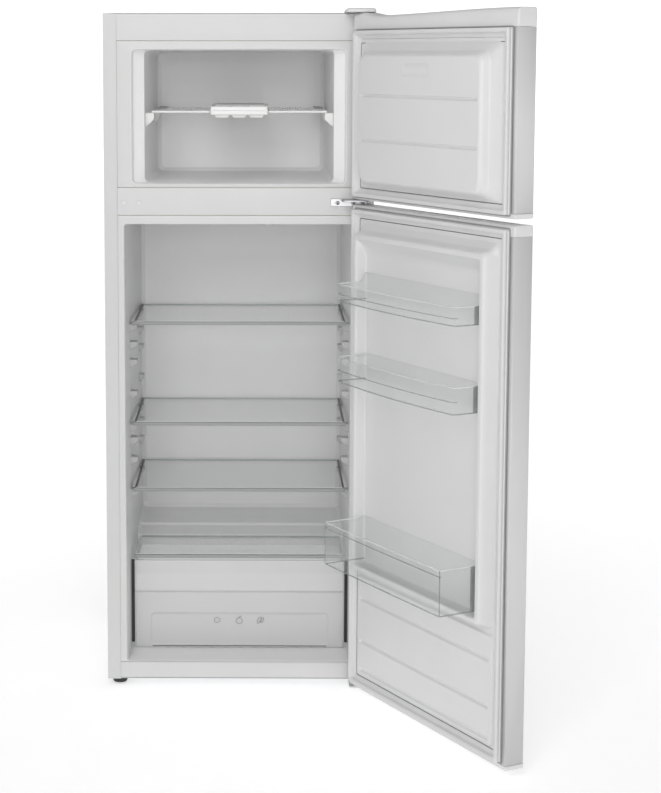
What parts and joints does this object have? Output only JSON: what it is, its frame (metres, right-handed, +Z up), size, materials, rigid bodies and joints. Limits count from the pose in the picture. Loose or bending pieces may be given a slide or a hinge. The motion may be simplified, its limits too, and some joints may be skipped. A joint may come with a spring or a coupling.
{
  "type": "top freezer refrigerator",
  "caption": "Free-standing white fridge with a freezer above, both doors open on right-hand hinges, with glass shelves, door bins and a crisper drawer.",
  "frame": {"origin": "on the floor, at the middle of the footprint of the fridge with both doors open as stored", "axes": "+Z up, -Y out of the front of the cabinet, +X to the right seen from the front, which is the hinge side"},
  "size_m": [0.7964, 0.9676, 1.4],
  "materials": {
    "white_steel": "satin",
    "white_plastic": "satin",
    "liner_plastic": "satin",
    "foam": "matte",
    "galvanised_steel": "satin",
    "hinge_steel": "satin",
    "black_plastic": "matte",
    "black_steel": "satin",
    "copper": "satin",
    "aluminium": "satin",
    "shelf_glass": "gloss",
    "clear_plastic": "gloss",
    "frosted_plastic": "satin",
    "trim_plastic": "satin",
    "gasket_rubber": "matte"
  },
  "bodies": {
    "cabinet": {"outer_casing": "white_steel", "top_rail": "white_plastic", "middle_rail": "white_plastic", "bottom_rail": "white_plastic", "top_hinge_cover": "white_plastic", "hinge_hole_plug_1": "white_plastic", "hinge_hole_plug_2": "white_plastic", "drain_tube": "white_plastic", "thermostat_housing": "white_plastic", "fridge_liner": "liner_plastic", "freezer_liner": "liner_plastic", "cabinet_foam": "foam", "back_panel": "galvanised_steel", "base_deck": "galvanised_steel", "compressor_mount_plate": "galvanised_steel", "top_hinge": "hinge_steel", "middle_hinge": "hinge_steel", "middle_hinge_screw_1": "hinge_steel", "middle_hinge_screw_2": "hinge_steel", "rear_foot_left": "black_plastic", "rear_foot_right": "black_plastic", "compressor_relay_box": "black_plastic", "evaporation_tray": "black_plastic", "cable_gland": "black_plastic", "bottom_hinge": "black_steel", "compressor": "black_steel", "condenser_tube": "black_steel", "condenser_plate": "black_steel", "filter_drier": "copper", "evaporator_plate": "aluminium", "lamp_cover": "clear_plastic"},
    "freezer_door": {"freezer_door_skin": "white_steel", "freezer_door_top_cap": "white_plastic", "freezer_door_bottom_cap": "white_plastic", "freezer_door_liner": "liner_plastic", "freezer_door_foam": "foam", "freezer_door_gasket": "gasket_rubber"},
    "fridge_door": {"fridge_door_skin": "white_steel", "fridge_door_top_cap": "white_plastic", "fridge_door_bottom_cap": "white_plastic", "fridge_door_liner": "liner_plastic", "fridge_door_foam": "foam", "fridge_door_gasket": "gasket_rubber"},
    "door_bin_upper": {"door_bin_upper": "clear_plastic"},
    "door_bin_middle": {"door_bin_middle": "clear_plastic"},
    "bottle_rack": {"bottle_rack": "clear_plastic"},
    "crisper_drawer": {"crisper_drawer": "frosted_plastic"},
    "crisper_cover": {"crisper_cover_glass": "shelf_glass", "crisper_cover_trim": "trim_plastic"},
    "shelf_1": {"shelf_glass_1": "shelf_glass", "shelf_trim_1": "trim_plastic"},
    "shelf_2": {"shelf_glass_2": "shelf_glass", "shelf_trim_2": "trim_plastic"},
    "shelf_3": {"shelf_glass_3": "shelf_glass", "shelf_trim_3": "trim_plastic"},
    "freezer_shelf": {"freezer_shelf": "shelf_glass"},
    "ice_tray": {"ice_tray": "white_plastic"},
    "thermostat_knob": {"thermostat_knob": "white_plastic"},
    "front_foot_left": {"front_foot_left": "black_plastic"},
    "front_foot_right": {"front_foot_right": "black_plastic"}
  },
  "joints": [
    {"name": "freezer_door_hinge", "type": "hinge", "parent": "cabinet", "child": "freezer_door", "pos_m": [0.12881, -0.01111, 1.391], "axis": [0, 0, 1], "range_deg": [-118.5, 11.5]},
    {"name": "fridge_door_hinge", "type": "hinge", "parent": "cabinet", "child": "fridge_door", "pos_m": [0.12881, -0.01111, 0.018], "axis": [0, 0, 1], "range_deg": [-118.5, 11.5]},
    {"name": "upper_bin_lift", "type": "slide", "parent": "fridge_door", "child": "door_bin_upper", "axis": [0, 0, 1], "range_m": [0, 0.028]},
    {"name": "middle_bin_lift", "type": "slide", "parent": "fridge_door", "child": "door_bin_middle", "axis": [0, 0, 1], "range_m": [0, 0.028]},
    {"name": "bottle_rack_lift", "type": "slide", "parent": "fridge_door", "child": "bottle_rack", "axis": [0, 0, 1], "range_m": [0, 0.028]},
    {"name": "crisper_drawer_slide", "type": "slide", "parent": "cabinet", "child": "crisper_drawer", "axis": [0, -1, 0], "range_m": [0, 0.13]},
    {"name": "crisper_cover_slide", "type": "slide", "parent": "cabinet", "child": "crisper_cover", "axis": [0, -1, 0], "range_m": [0, 0.15]},
    {"name": "shelf_1_slide", "type": "slide", "parent": "cabinet", "child": "shelf_1", "axis": [0, -1, 0], "range_m": [0, 0.27]},
    {"name": "shelf_2_slide", "type": "slide", "parent": "cabinet", "child": "shelf_2", "axis": [0, -1, 0], "range_m": [0, 0.27]},
    {"name": "shelf_3_slide", "type": "slide", "parent": "cabinet", "child": "shelf_3", "axis": [0, -1, 0], "range_m": [0, 0.18]},
    {"name": "freezer_shelf_slide", "type": "slide", "parent": "cabinet", "child": "freezer_shelf", "axis": [0, -1, 0], "range_m": [0, 0.25]},
    {"name": "ice_tray_slide", "type": "slide", "parent": "freezer_shelf", "child": "ice_tray", "axis": [0, -1, 0], "range_m": [0, 0.2]},
    {"name": "thermostat_knob_turn", "type": "hinge", "parent": "cabinet", "child": "thermostat_knob", "pos_m": [-0.06569, 0.25739, 0.946], "axis": [0, 0, 1], "range_deg": [0, 300]},
    {"name": "front_foot_left_turn", "type": "hinge", "parent": "cabinet", "child": "front_foot_left", "pos_m": [-0.37569, 0.06339, 0], "axis": [0, 0, 1], "continuous": true},
    {"name": "front_foot_right_turn", "type": "hinge", "parent": "cabinet", "child": "front_foot_right", "pos_m": [0.12431, 0.06339, 0], "axis": [0, 0, 1], "continuous": true}
  ]
}
